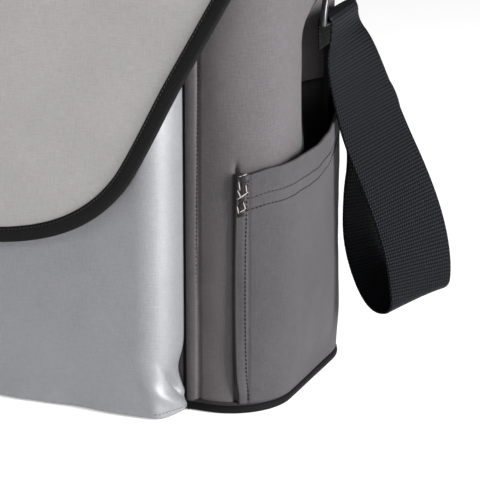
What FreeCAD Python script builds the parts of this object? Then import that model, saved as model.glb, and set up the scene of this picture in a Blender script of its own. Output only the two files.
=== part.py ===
import FreeCAD, Part
import math
import os

# Mail carrier's satchel: millimetres, +Z up, front faces -Y, wearer's right side is +X.
# Origin: centre of the base on the surface that the bag stands on.

os.makedirs("parts", exist_ok=True)
Vector = FreeCAD.Vector

# ---- driving dimensions ----
HALF_WIDTH = 215.0          # gusset to gusset, 430 wide
BACK_Y = 97.0               # outer face of the back panel
FRONT_Y = -63.0             # outer face of the body's front, so the body is 160 deep
CORNER_RADIUS = 40.0        # plan corners of the body
BODY_TOP = 300.0            # top edge of the body walls
WALL = 3.0                  # lined canvas wall
SEAM_X = 159.0              # vertical seams between the panels and the gussets

PIPING_OUT = 3.0            # how far the base piping stands out of the wall
PIPING_TOP = 6.0
BASE_TOP = 4.0
BOARD_INSET = 9.0
BOARD_TOP = 6.5
BINDING_PROUD = 0.8
MOUTH_BINDING_TOP = 301.5

SEAM_STRIP_WIDTH = 8.0
SEAM_STRIP_PROUD = 1.2

DIVIDER_Y = (60.0, 62.0)
DIVIDER_TOP = 235.0

POCKET_PROUD = 30.0         # the front pocket stands this far out of the body
POCKET_WALL = 2.5
POCKET_BOTTOM = 2.0
POCKET_TOP = 285.0
# height, how far the pocket stands out there
POCKET_SECTIONS = ((POCKET_BOTTOM, 22.0), (14.0, POCKET_PROUD), (225.0, POCKET_PROUD), (POCKET_TOP, 13.0))
POCKET_HEM_HEIGHT = 12.0
POCKET_HEM_PROUD = 0.8

TAPE_X = (62.0, 112.0)      # hook and loop closure patches
TAPE_Z = (168.0, 198.0)
TAPE_THICKNESS = 1.2
TAPE_GAP = 0.4

FLAP_BOTTOM_Z = 110.5
FLAP_HALF_WIDTH = 207.6
FLAP_BEND = (145.0, 180.6)  # where the flap's straight side meets its rounded foot: x, z
FLAP_CURVE = ((115.0, 121.9), (62.0, FLAP_BOTTOM_Z))
FLAP_CURVE_STEPS = 12
FLAP_INNER_Y = FRONT_Y - POCKET_PROUD - 2 * TAPE_THICKNESS - TAPE_GAP
FLAP_THICKNESS = 3.0
LINING_THICKNESS = 1.2
FLAP_TOP_Z = 304.0          # underside of the flap's top
FLAP_FRONT_TOP_Z = 303.0
FLAP_SHOULDER_Z = 225.0     # the flap's front hangs plumb below this height
FLAP_SHOULDER_Y = -79.0     # inner face of the flap's front at its top edge
FLAP_TOP_Y = (-77.0, 94.0)
BINDING_WIDTH = 10.7
BINDING_SKIN = 1.2

SIDE_POCKET_BOTTOM = 7.0
SIDE_POCKET_WALL = 2.5
BARTACK_Z = (139.0, 168.0)
# top edge of a side pocket: y, z
SIDE_POCKET_EDGE = ((-75.0, 166.0), (7.0, 173.0), (100.0, 207.0))

RING_X = 221.5
RING_Y = 50.0
RING_Z = 250.0
RING_RADIUS = 28.0
RING_WIRE = 2.3
TAB_HALF_WIDTH = 12.0
TAB_WALL = 1.6
TAB_PLAY = 0.9
TAB_TOP = 299.0

WEBBING_WIDTH = 50.0
WEBBING_THICKNESS = 2.0

# Webbing route: (point, direction across the webbing). It is sewn over the left ring, hangs
# behind the back panel, turns down at the right rear corner into a slack loop, and comes up to
# the right ring, where its end is folded over and sewn behind the loop.
LEFT_END = [
    ((-225.3, 50.0, 223.0), (0.0, 1.0, 0.0)),
    ((-225.6, 50.0, 231.0), (0.0, 1.0, 0.0)),
    ((-225.9, 50.0, 240.0), (0.0, 1.0, 0.0)),
    ((-225.9, 50.0, 255.0), (0.0, 1.0, 0.0)),
]
BACK_RUN = [
    ((217.1, 50.0, 255.0), (0.0, 1.0, 0.0)),
    ((217.3, 50.5, 238.0), (0.0, 1.0, 0.1)),
    ((219.0, 56.0, 222.0), (0.0, 0.85, 0.5)),
    ((224.0, 78.0, 208.0), (-0.3, 0.6, 0.75)),
    ((214.0, 102.0, 196.0), (-0.35, 0.3, 0.9)),
    ((184.0, 106.0, 180.0), (-0.4, 0.05, 0.9)),
    ((130.0, 101.5, 152.0), (-0.4, 0.0, 0.9)),
    ((65.0, 100.5, 130.0), (-0.2, 0.0, 1.0)),
    ((0.0, 100.5, 122.0), (0.0, 0.0, 1.0)),
]
SLACK_LOOP = [
    ((211.0, 108.0, 190.0), (-0.3, 0.25, 0.9)),
    ((229.5, 102.0, 176.0), (0.1, 0.75, 0.6)),
    ((235.5, 91.0, 148.0), (0.45, 0.86, 0.15)),
    ((234.0, 89.0, 118.0), (0.58, 0.81, 0.0)),
    ((234.0, 89.0, 80.0), (0.55, 0.83, 0.05)),
    ((253.0, 77.0, 43.0), (0.53, 0.82, 0.2)),
    ((276.0, 62.5, 46.0), (0.53, 0.82, 0.2)),
    ((276.0, 62.0, 72.0), (0.63, 0.77, 0.1)),
    ((270.0, 63.0, 101.0), (0.7, 0.71, 0.03)),
    ((259.0, 61.0, 133.0), (0.7, 0.71, 0.0)),
    ((246.0, 58.0, 168.0), (0.64, 0.77, 0.0)),
    ((236.0, 54.5, 200.0), (0.5, 0.87, 0.0)),
    ((229.0, 51.5, 226.0), (0.33, 0.94, 0.0)),
    ((225.9, 50.3, 241.0), (0.0, 1.0, 0.0)),
    ((225.9, 50.0, 255.0), (0.0, 1.0, 0.0)),
    ((217.1, 50.0, 255.0), (0.0, 1.0, 0.0)),
    ((217.2, 50.0, 243.0), (0.0, 1.0, 0.0)),
    ((217.5, 50.0, 232.0), (0.0, 1.0, 0.0)),
]
SPANS_PER_POINT = 4


def save(name, shape):
    """Write one piece, and stop on a broken solid."""
    if not shape.isValid():
        raise RuntimeError(name + " is not a valid shape")
    shape.exportStep("parts/" + name + ".step")
    print(name, "solids", len(shape.Solids), "volume", round(shape.Volume))


def save_pair(name, right):
    """Write a piece of the right side and its mirror image on the left."""
    save(name + "_right", right)
    save(name + "_left", right.mirror(Vector(0, 0, 0), Vector(1, 0, 0)))


def block(x, y, z):
    return Part.makeBox(x[1] - x[0], y[1] - y[0], z[1] - z[0], Vector(x[0], y[0], z[0]))


def plan_prism(offset, low, high):
    """The body's rounded plan, grown by offset, between two heights."""
    left = -HALF_WIDTH - offset
    front = FRONT_Y - offset
    prism = block((left, -left), (front, BACK_Y + offset), (low, high))
    uprights = [edge for edge in prism.Edges if abs(edge.BoundBox.ZLength - (high - low)) < 0.01
                and edge.BoundBox.XLength < 0.01 and edge.BoundBox.YLength < 0.01]
    return prism.makeFillet(CORNER_RADIUS + offset, uprights)


def plan_ring(outer, inner, low, high):
    return plan_prism(outer, low, high).cut(plan_prism(inner, low - 1, high + 1))


def prism_from(points, direction):
    """A closed polygon pushed along direction."""
    vectors = [Vector(*point) for point in points]
    face = Part.Face(Part.makePolygon(vectors + vectors[:1]))
    return face.extrude(Vector(*direction))


# ---- body ----
def body_walls():
    walls = plan_ring(0, -WALL, PIPING_TOP, BODY_TOP)
    middle = (-SEAM_X, SEAM_X)
    tall = (PIPING_TOP, BODY_TOP)
    save("front_panel", walls.common(block(middle, (FRONT_Y - 1, FRONT_Y + WALL + 1), tall)))
    save("back_panel", walls.common(block(middle, (BACK_Y - WALL - 1, BACK_Y + 1), tall)))
    side = block((SEAM_X, HALF_WIDTH + 1), (FRONT_Y - 1, BACK_Y + 1), tall)
    save_pair("gusset", walls.common(side))
    strip_y = (FRONT_Y - SEAM_STRIP_PROUD, FRONT_Y)
    save_pair("seam_strip", block((SEAM_X, SEAM_X + SEAM_STRIP_WIDTH), strip_y, tall))


def base():
    piping = plan_ring(PIPING_OUT, -WALL, 0, PIPING_TOP)
    outer_y = FRONT_Y - PIPING_OUT
    rim = [edge for edge in piping.Edges if edge.BoundBox.ZLength < 0.01
           and edge.BoundBox.YMin > outer_y - 1
           and (edge.BoundBox.XMax > HALF_WIDTH + PIPING_OUT - 0.01
                or edge.BoundBox.XMin < -HALF_WIDTH - PIPING_OUT + 0.01
                or edge.BoundBox.YMin < outer_y + 0.01
                or edge.BoundBox.YMax > BACK_Y + PIPING_OUT - 0.01)]
    save("base_piping", piping.makeFillet(2.2, rim))
    save("base_panel", plan_prism(-WALL, 0, BASE_TOP))
    save("base_board", plan_prism(-BOARD_INSET, BASE_TOP, BOARD_TOP))
    save("mouth_binding", plan_ring(BINDING_PROUD, -WALL - BINDING_PROUD, BODY_TOP, MOUTH_BINDING_TOP))
    side = HALF_WIDTH - WALL
    save("sleeve_divider", block((-side, side), DIVIDER_Y, (BOARD_TOP, DIVIDER_TOP)).common(
        plan_prism(-WALL, 0, BODY_TOP)))


# ---- front pocket ----
def pocket_section(inset, height, proud):
    """Half of the pocket's plan at one height, mirrored to both sides."""
    reach = proud - inset
    half = SEAM_X - inset
    right = [(half, 0.0), (half - 1.0, 0.45 * reach), (half - 7.0, 0.82 * reach), (half - 20.0, reach)]
    outline = right + [(-x, out) for x, out in reversed(right)]
    points = [Vector(x, FRONT_Y - out, height) for x, out in outline]
    return Part.makePolygon(points + points[:1])


def front_pocket():
    outer = [pocket_section(0, height, proud) for height, proud in POCKET_SECTIONS]
    floor = POCKET_BOTTOM + POCKET_WALL
    levels = [(floor, POCKET_SECTIONS[0][1])] + list(POCKET_SECTIONS[1:-1])
    inner = [pocket_section(POCKET_WALL, height, proud) for height, proud in levels]
    inner.append(pocket_section(POCKET_WALL, POCKET_TOP, POCKET_SECTIONS[-1][1]))
    shell = Part.makeLoft(outer, True, True).cut(Part.makeLoft(inner, True, True))
    seam = block((-SEAM_X, SEAM_X), (FRONT_Y - PIPING_OUT, FRONT_Y), (0, PIPING_TOP))
    save("front_pocket_panel", shell.cut(seam))
    hem_low = POCKET_TOP - POCKET_HEM_HEIGHT
    (low_z, low_out), (top_z, top_out) = POCKET_SECTIONS[-2:]
    slope = (low_out - top_out) / (top_z - low_z)
    face_top = FRONT_Y - top_out
    face_low = face_top - slope * POCKET_HEM_HEIGHT
    half = SEAM_X - 22.0
    hem = [(-half, face_top, POCKET_TOP), (-half, face_low, hem_low),
           (-half, face_low - POCKET_HEM_PROUD, hem_low), (-half, face_top - POCKET_HEM_PROUD, POCKET_TOP)]
    save("front_pocket_hem", prism_from(hem, (2 * half, 0, 0)))
    face_y = FRONT_Y - POCKET_PROUD
    save_pair("hook_tape", block(TAPE_X, (face_y - TAPE_THICKNESS, face_y), TAPE_Z))


# ---- flap ----
def flap_profile(inner, outer):
    """The flap's front from the side: inner and outer are offsets from its inner face."""
    top = FLAP_FRONT_TOP_Z
    low = FLAP_BOTTOM_Z - 5
    points = []
    for offset, heights in ((inner, (top, FLAP_SHOULDER_Z, low)), (outer, (low, FLAP_SHOULDER_Z, top))):
        for height in heights:
            face = FLAP_SHOULDER_Y if height == top else FLAP_INNER_Y
            points.append((-300, face - offset, height))
    return prism_from(points, (600, 0, 0))


def flap_edge_point(fraction, inset):
    """A point of the flap's rounded foot, from its bend at 0 to the middle at 1, moved inwards."""
    poles = [FLAP_BEND] + list(FLAP_CURVE) + [(0.0, FLAP_BOTTOM_Z)]
    rest = 1 - fraction
    weights = (rest ** 3, 3 * rest ** 2 * fraction, 3 * rest * fraction ** 2, fraction ** 3)
    slopes = (rest ** 2, 2 * rest * fraction, fraction ** 2)
    x, z = (sum(weight * pole[axis] for weight, pole in zip(weights, poles)) for axis in (0, 1))
    dx, dz = (sum(slope * (far[axis] - near[axis]) for slope, near, far in zip(slopes, poles, poles[1:]))
              for axis in (0, 1))
    length = math.hypot(dx, dz)
    return x + inset * dz / length, z - inset * dx / length


def flap_prism(inset):
    """The flap's outline pushed along Y, carried above the fold so that only its edge is bound."""
    slope = (FLAP_FRONT_TOP_Z - FLAP_BEND[1]) / (FLAP_HALF_WIDTH - FLAP_BEND[0])
    right = [flap_edge_point(step / FLAP_CURVE_STEPS, inset) for step in range(FLAP_CURVE_STEPS + 1)]
    bend_x, bend_z = right[0]
    rise = FLAP_FRONT_TOP_Z + 40 - bend_z
    right.insert(0, (bend_x + rise / slope, bend_z + rise))
    outline = right + [(-x, z) for x, z in reversed(right[:-1])]
    return prism_from([(x, -200, z) for x, z in outline], (0, 200, 0))


def flap():
    whole = flap_prism(0)
    field = flap_prism(BINDING_WIDTH)
    save("flap_front_lining", flap_profile(0, LINING_THICKNESS).common(field))
    save("flap_front_panel", flap_profile(LINING_THICKNESS, FLAP_THICKNESS).common(field))
    band = flap_profile(-BINDING_SKIN, FLAP_THICKNESS + BINDING_SKIN)
    save("flap_front_binding", band.common(whole.cut(field)))
    loop_y = (FLAP_INNER_Y, FLAP_INNER_Y + TAPE_THICKNESS)
    save_pair("loop_tape", block(TAPE_X, loop_y, TAPE_Z))

    field_x = FLAP_HALF_WIDTH - BINDING_WIDTH
    middle = (-field_x, field_x)
    lining_top = FLAP_TOP_Z + LINING_THICKNESS
    save("flap_top_lining", block(middle, FLAP_TOP_Y, (FLAP_TOP_Z, lining_top)))
    save("flap_top_panel", block(middle, FLAP_TOP_Y, (lining_top, FLAP_TOP_Z + FLAP_THICKNESS)))
    band_z = (FLAP_TOP_Z - 1, FLAP_TOP_Z + FLAP_THICKNESS + 1)
    save_pair("flap_top_binding", block((field_x, FLAP_HALF_WIDTH), FLAP_TOP_Y, band_z))


# ---- side pockets ----
def gusset_stations():
    """Stations round the right gusset: surface point, outward normal and the pocket's gap there."""
    stations = []
    centre_x = HALF_WIDTH - CORNER_RADIUS
    front_centre = FRONT_Y + CORNER_RADIUS
    back_centre = BACK_Y - CORNER_RADIUS
    for turn, gap in ((28, 0.6), (40, 0.8), (55, 1.4), (72, 2.6)):
        angle = math.radians(turn - 90)
        stations.append((centre_x, front_centre, angle, gap))
    for y, gap in ((front_centre, 4.0), (-5.0, 5.5), (20.0, 5.5), (40.0, 4.8), (back_centre, 2.2)):
        stations.append((centre_x, y, 0.0, gap))
    for turn, gap in ((15, 1.3), (30, 0.9), (45, 0.8), (62, 0.6)):
        stations.append((centre_x, back_centre, math.radians(turn), gap))
    result = []
    for x, y, angle, gap in stations:
        normal = (math.cos(angle), math.sin(angle))
        surface = (x + CORNER_RADIUS * normal[0], y + CORNER_RADIUS * normal[1])
        result.append((surface, normal, gap))
    return result


def wrapped_strip(stations, inner_extra, outer_extra, low, high):
    """A strip that follows the gusset at its stations' gaps."""
    inside = []
    outside = []
    for (x, y), (nx, ny), gap in stations:
        inside.append((x + nx * (gap + inner_extra), y + ny * (gap + inner_extra), low))
        outside.append((x + nx * (gap + outer_extra), y + ny * (gap + outer_extra), low))
    return prism_from(inside + outside[::-1], (0, 0, high - low))


def side_pockets():
    stations = gusset_stations()
    wall = wrapped_strip(stations, 0, SIDE_POCKET_WALL, SIDE_POCKET_BOTTOM, 230)
    above = [(150, y, z) for y, z in SIDE_POCKET_EDGE]
    above += [(150, SIDE_POCKET_EDGE[-1][0], 260), (150, SIDE_POCKET_EDGE[0][0], 260)]
    save_pair("side_pocket", wall.cut(prism_from(above, (120, 0, 0))))
    bar = wrapped_strip(stations[:2], SIDE_POCKET_WALL, SIDE_POCKET_WALL + 0.9, *BARTACK_Z)
    (x, y), _, _ = stations[0]
    reach = block((x - 9, x + 3.4), (y - 9, y + 9), BARTACK_Z)
    save_pair("bartack", bar.common(reach))


# ---- strap hardware ----
def ring():
    """A D ring in the YZ plane, its straight bar down and its arc up."""
    centre = Vector(RING_X, RING_Y, RING_Z)
    arc = Part.makeTorus(RING_RADIUS, RING_WIRE, centre, Vector(1, 0, 0))
    arc = arc.common(block((RING_X - 9, RING_X + 9), (RING_Y - 40, RING_Y + 40), (RING_Z, RING_Z + 40)))
    bar = Part.makeCylinder(RING_WIRE, 2 * RING_RADIUS, centre - Vector(0, RING_RADIUS, 0), Vector(0, 1, 0))
    ends = [Part.makeSphere(RING_WIRE, centre + Vector(0, side * RING_RADIUS, 0)) for side in (1, -1)]
    return arc.fuse([bar] + ends).removeSplitter()


def anchor_tab():
    """Narrow webbing sewn to the gusset's top, looped round the ring's arc."""
    y = (RING_Y - TAB_HALF_WIDTH, RING_Y + TAB_HALF_WIDTH)
    arc_top = RING_Z + RING_RADIUS
    sag = RING_RADIUS - math.sqrt(RING_RADIUS ** 2 - TAB_HALF_WIDTH ** 2)
    slot_x = (RING_X - RING_WIRE - TAB_PLAY, RING_X + RING_WIRE + TAB_PLAY)
    slot_z = (arc_top - RING_WIRE - sag - TAB_PLAY, arc_top + RING_WIRE + TAB_PLAY)
    loop_z = (slot_z[0] - TAB_WALL, slot_z[1] + TAB_WALL)
    loop = block((HALF_WIDTH, slot_x[1] + TAB_WALL), y, loop_z)
    loop = loop.cut(block(slot_x, (y[0] - 1, y[1] + 1), slot_z))
    flat = block((HALF_WIDTH, HALF_WIDTH + 2 * TAB_WALL), y, (loop_z[1], TAB_TOP))
    return loop.fuse(flat).removeSplitter()



# ---- webbing ----
def spline_value(values, step, fraction):
    """Uniform quadratic spline, clamped at both ends, on one span of its control values."""
    last = len(values) - 3
    start = values[step] if step == 0 else (values[step] + values[step + 1]) * 0.5
    end = values[step + 2] if step == last else (values[step + 1] + values[step + 2]) * 0.5
    rest = 1 - fraction
    return start * (rest * rest) + values[step + 1] * (2 * rest * fraction) + end * (fraction * fraction)


def spline_stations(route):
    """Centre points and across directions along the whole route."""
    points = [Vector(*point) for point, _ in route]
    across = [Vector(*direction) for _, direction in route]
    stations = []
    for step in range(len(points) - 2):
        first = 0 if step == 0 else 1
        for index in range(first, SPANS_PER_POINT + 1):
            fraction = index / SPANS_PER_POINT
            stations.append((spline_value(points, step, fraction), spline_value(across, step, fraction)))
    return stations


def cross_sections(stations):
    """The four corners of the webbing at each station."""
    rings = []
    for index, (centre, across) in enumerate(stations):
        before = stations[max(index - 1, 0)][0]
        after = stations[min(index + 1, len(stations) - 1)][0]
        along = (after - before).normalize()
        wide = (across - along * across.dot(along)).normalize() * (WEBBING_WIDTH / 2)
        thick = along.cross(wide).normalize() * (WEBBING_THICKNESS / 2)
        rings.append([centre - wide - thick, centre + wide - thick, centre + wide + thick,
                      centre - wide + thick])
    return rings


def ribbon(rings):
    """A closed flat strip of webbing through its cross sections."""
    faces = []

    def triangle(a, b, c):
        faces.append(Part.Face(Part.makePolygon([a, b, c, a])))

    for near, far in zip(rings, rings[1:]):
        for side in (0, 1, 3):
            following = (side + 1) % 4
            triangle(near[side], near[following], far[following])
            triangle(near[side], far[following], far[side])
        # split along the same diagonal as the face opposite, so a twisted run keeps its thickness
        triangle(near[2], near[3], far[2])
        triangle(near[3], far[3], far[2])
    for cap in (rings[0], rings[-1]):
        triangle(cap[0], cap[1], cap[2])
        triangle(cap[0], cap[2], cap[3])
    solid = Part.Solid(Part.Shell(faces))
    if solid.Volume < 0:
        solid.reverse()
    return solid


def centre_length(stations):
    return sum((b[0] - a[0]).Length for a, b in zip(stations, stations[1:]))


def strap():
    left_run = [((-x, y, z), (-ax, ay, az)) for (x, y, z), (ax, ay, az) in BACK_RUN]
    right_run = BACK_RUN[-2:4:-1]
    route = LEFT_END + left_run + right_run + SLACK_LOOP
    stations = spline_stations(route)
    fold = (len(LEFT_END) + len(left_run) + len(right_run) - 1) * SPANS_PER_POINT
    rings = cross_sections(stations)
    save("strap_main", ribbon(rings[:fold + 1]))
    save("strap_slack_loop", ribbon(rings[fold:]))
    print("webbing length", round(centre_length(stations)), "loop", round(centre_length(stations[fold:])))


body_walls()
base()
front_pocket()
flap()
side_pockets()
save_pair("anchor_tab", anchor_tab())
save_pair("ring", ring())
strap()
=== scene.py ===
import bisect
import math
import random

import bpy
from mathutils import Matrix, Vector, noise


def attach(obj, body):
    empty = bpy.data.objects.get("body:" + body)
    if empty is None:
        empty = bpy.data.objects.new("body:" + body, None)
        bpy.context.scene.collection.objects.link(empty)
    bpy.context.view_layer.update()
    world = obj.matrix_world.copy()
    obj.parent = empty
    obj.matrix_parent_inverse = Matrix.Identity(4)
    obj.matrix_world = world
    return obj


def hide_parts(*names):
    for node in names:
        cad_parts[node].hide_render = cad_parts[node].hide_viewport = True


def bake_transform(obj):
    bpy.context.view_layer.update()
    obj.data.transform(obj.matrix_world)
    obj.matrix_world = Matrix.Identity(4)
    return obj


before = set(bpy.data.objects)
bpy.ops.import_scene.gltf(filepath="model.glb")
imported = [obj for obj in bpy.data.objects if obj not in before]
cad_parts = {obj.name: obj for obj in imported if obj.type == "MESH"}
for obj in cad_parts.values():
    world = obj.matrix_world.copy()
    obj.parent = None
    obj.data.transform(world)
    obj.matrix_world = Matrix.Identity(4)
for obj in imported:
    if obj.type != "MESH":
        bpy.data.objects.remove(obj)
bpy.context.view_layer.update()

# Mail carrier's satchel. Shapes are worked out in millimetres in the CAD frame and built in metres.
MM = 0.001
random.seed(7)
UP, FRONT, RIGHT = Vector((0, 0, 1)), Vector((0, -1, 0)), Vector((1, 0, 0))

# ---- driving dimensions, as in the CAD ----
HALF_WIDTH = 215.0
FRONT_Y = -63.0
BACK_Y = 97.0
CORNER_RADIUS = 40.0
BODY_TOP = 300.0
BASE_Z = 6.0
WALL = 3.0
SEAM_X = 159.0
POCKET_TOP = 285.0
FLAP_HALF = 207.6
FLAP_BEND = (145.0, 180.6)
FLAP_FOOT_Z = 110.5
BINDING_WIDTH = 10.7
TAPE_X = (62.0, 112.0)
TAPE_Z = (168.0, 198.0)
WEBBING_WIDTH = 50.0
WEBBING_THICKNESS = 2.0
RING_Y = 50.0

# half of the body's plan, from the front's middle round the right side to the back's middle
ARC = CORNER_RADIUS * math.pi / 2
STRAIGHT = HALF_WIDTH - CORNER_RADIUS
SIDE = BACK_Y - FRONT_Y - 2 * CORNER_RADIUS
HALF_PLAN = 2 * STRAIGHT + 2 * ARC + SIDE
REAR_SEAM = HALF_PLAN - SEAM_X


def clamp(value, low=0.0, high=1.0):
    return max(low, min(high, value))


def smooth(value, low, high):
    t = clamp((value - low) / (high - low))
    return t * t * (3 - 2 * t)


def bump(value, centre, width):
    return math.exp(-((value - centre) / width) ** 2)


def table(pairs, x):
    """Smooth interpolation between (x, value) pairs."""
    xs = [p[0] for p in pairs]
    if x <= xs[0]:
        return pairs[0][1]
    if x >= xs[-1]:
        return pairs[-1][1]
    i = bisect.bisect_right(xs, x) - 1
    t = (x - xs[i]) / (xs[i + 1] - xs[i])
    return pairs[i][1] + (pairs[i + 1][1] - pairs[i][1]) * t * t * (3 - 2 * t)


def soft(x, y, z, scale, seed=0.0):
    """Even noise from -1 to 1 whose features are about scale millimetres wide."""
    return noise.noise(Vector((x / scale + seed, y / scale - seed, z / scale + 0.5 * seed)))


def steps(low, high, count):
    return [low + (high - low) * i / count for i in range(count + 1)]


def running_length(points):
    """Distance from the first point to each point along a line."""
    total = [0.0]
    for p, q in zip(points, points[1:]):
        total.append(total[-1] + (q - p).length)
    return total


def place_at(total, distance):
    """Span that holds a distance, and how far through the span it is."""
    i = min(bisect.bisect_right(total, distance) - 1, len(total) - 2)
    return i, (distance - total[i]) / max(total[i + 1] - total[i], 1e-9)


def plan(s):
    """Point and outward normal of the body's plan at arc length s; negative s is the left side."""
    side = 1 if s >= 0 else -1
    s = abs(s)
    if s <= STRAIGHT:
        x, y, nx, ny = s, FRONT_Y, 0.0, -1.0
    elif s <= STRAIGHT + ARC:
        a = (s - STRAIGHT) / CORNER_RADIUS
        nx, ny = math.sin(a), -math.cos(a)
        x, y = STRAIGHT + CORNER_RADIUS * nx, FRONT_Y + CORNER_RADIUS + CORNER_RADIUS * ny
    elif s <= STRAIGHT + ARC + SIDE:
        x, y, nx, ny = HALF_WIDTH, FRONT_Y + CORNER_RADIUS + s - STRAIGHT - ARC, 1.0, 0.0
    elif s <= STRAIGHT + 2 * ARC + SIDE:
        a = (s - STRAIGHT - ARC - SIDE) / CORNER_RADIUS
        nx, ny = math.cos(a), math.sin(a)
        x, y = STRAIGHT + CORNER_RADIUS * nx, BACK_Y - CORNER_RADIUS + CORNER_RADIUS * ny
    else:
        x, y, nx, ny = HALF_PLAN - s, BACK_Y, 0.0, 1.0
    return Vector((side * x, y, 0)), Vector((side * nx, ny, 0))


# ---- mesh helpers ----
def link(obj):
    bpy.context.scene.collection.objects.link(obj)


def new_piece(name, points, faces, uvs, materials, body, nodes=()):
    """A smooth mesh object from millimetre points; uvs holds one (u, v) in millimetres per face corner."""
    mesh = bpy.data.meshes.new(name)
    mesh.from_pydata([(p[0] * MM, p[1] * MM, p[2] * MM) for p in points], [], faces)
    layer = mesh.uv_layers.new(name="cloth")
    for loop, (u, v) in zip(layer.data, uvs):
        loop.uv = (u * MM, v * MM)
    for material in materials:
        mesh.materials.append(material)
    mesh.polygons.foreach_set("use_smooth", [True] * len(mesh.polygons))
    mesh.update()
    piece = bpy.data.objects.new(name, mesh)
    link(piece)
    if body:
        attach(piece, body)
    if nodes:
        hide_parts(*nodes)
    return piece


def grid_parts(rows, us, vs, closed, flip):
    """Faces and corner uvs of a grid of points; closed joins the last column to the first."""
    count = len(rows[0])
    faces, uvs = [], []
    for i in range(len(rows) - 1):
        for j in range(count if closed else count - 1):
            k = (j + 1) % count
            quad = [(i, j, j), (i, k, j + 1), (i + 1, k, j + 1), (i + 1, j, j)]
            if flip:
                quad.reverse()
            faces.append([r * count + c for r, c, _ in quad])
            uvs += [(us[u], vs[r]) for r, _, u in quad]
    return faces, uvs


def cloth(name, rows, us, vs, materials, body, nodes=(), thick=WALL, flip=False, closed=False):
    """A sheet through a grid of points with its thickness behind it, lined with the second material."""
    faces, uvs = grid_parts(rows, us, vs, closed, flip)
    piece = new_piece(name, [p for row in rows for p in row], faces, uvs, materials, body, nodes)
    solid = piece.modifiers.new("thickness", "SOLIDIFY")
    solid.thickness = thick * MM
    solid.offset = -1
    if len(materials) > 1:
        solid.material_offset = 1
    return piece


def sweep(name, stations, profile, materials, body, nodes=(), closed=False):
    """A tube through stations (centre, a axis, b axis) whose section is profile, a list of (a, b)."""
    points = [c + a * pa + b * pb for c, a, b in stations for pa, pb in profile]
    count = len(profile)
    across = [0.0]
    for (a0, b0), (a1, b1) in zip(profile, profile[1:] + profile[:1]):
        across.append(across[-1] + math.hypot(a1 - a0, b1 - b0))
    centres = [s[0] for s in stations]
    along = running_length(centres + centres[:1])
    faces, uvs = [], []
    rings = len(stations)
    for i in range(rings if closed else rings - 1):
        n = (i + 1) % rings
        for j in range(count):
            k = (j + 1) % count
            faces.append([r * count + c for r, c in ((i, j), (i, k), (n, k), (n, j))])
            uvs += [(across[j], along[i]), (across[j + 1], along[i]),
                    (across[j + 1], along[i + 1]), (across[j], along[i + 1])]
    if not closed:
        for ring, order in ((0, range(count - 1, -1, -1)), (rings - 1, range(count))):
            faces.append([ring * count + j for j in order])
            uvs += [(across[j], along[ring]) for j in order]
    return new_piece(name, points, faces, uvs, materials, body, nodes)


def walk(line, pitch):
    """Points along a line of (point, normal) at an even pitch: (point, normal, direction)."""
    total = running_length([p for p, _ in line])
    count = max(1, round(total[-1] / pitch))
    result = []
    for n in range(count):
        i, t = place_at(total, (n + 0.5) * total[-1] / count)
        (p, m), (q, o) = line[i], line[i + 1]
        result.append((p.lerp(q, t), m.lerp(o, t).normalized(), (q - p).normalized()))
    return result


STITCH_PITCH = 2.9
THREAD = 0.36
THREAD_SIDES = 6
# rings along one stitch: (place along it, lift in radii, thickness in radii)
STITCH_RINGS = ((-1, -0.5, 0.5), (-0.6, 0.3, 1), (0, 0.5, 1.05), (0.6, 0.3, 1), (1, -0.5, 0.5))


def stitches(name, lines, body, pitch=STITCH_PITCH, radius=THREAD, material=None,
        slant=0.12, nodes=()):
    """Lock stitches along lines of (point, normal): each a short thread that dives at both ends."""
    points, faces, uvs = [], [], []
    for line in lines:
        for centre, normal, along in walk(line, pitch):
            side = normal.cross(along).normalized()
            along = (along + side * slant * random.uniform(0.4, 1.6)).normalized()
            side = normal.cross(along).normalized()
            half = pitch * random.uniform(0.36, 0.42)
            base = len(points)
            for t, lift, size in STITCH_RINGS:
                middle = centre + along * (half * t) + normal * (radius * lift)
                for j in range(THREAD_SIDES):
                    a = math.tau * j / THREAD_SIDES
                    points.append(middle + (side * math.cos(a) + normal * math.sin(a)) * (radius * size))
            for i in range(len(STITCH_RINGS) - 1):
                near = base + i * THREAD_SIDES
                far = near + THREAD_SIDES
                for j in range(THREAD_SIDES):
                    k = (j + 1) % THREAD_SIDES
                    faces.append([near + j, near + k, far + k, far + j])
                    uvs += [(j, i), (j + 1, i), (j + 1, i + 1), (j, i + 1)]
            faces.append([base + j for j in range(THREAD_SIDES - 1, -1, -1)])
            faces.append([len(points) - THREAD_SIDES + j for j in range(THREAD_SIDES)])
            uvs += [(0, 0)] * (2 * THREAD_SIDES)
    return new_piece(name, points, faces, uvs, [material or THREAD_AND_SHADE_DARK], body, nodes)


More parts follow.
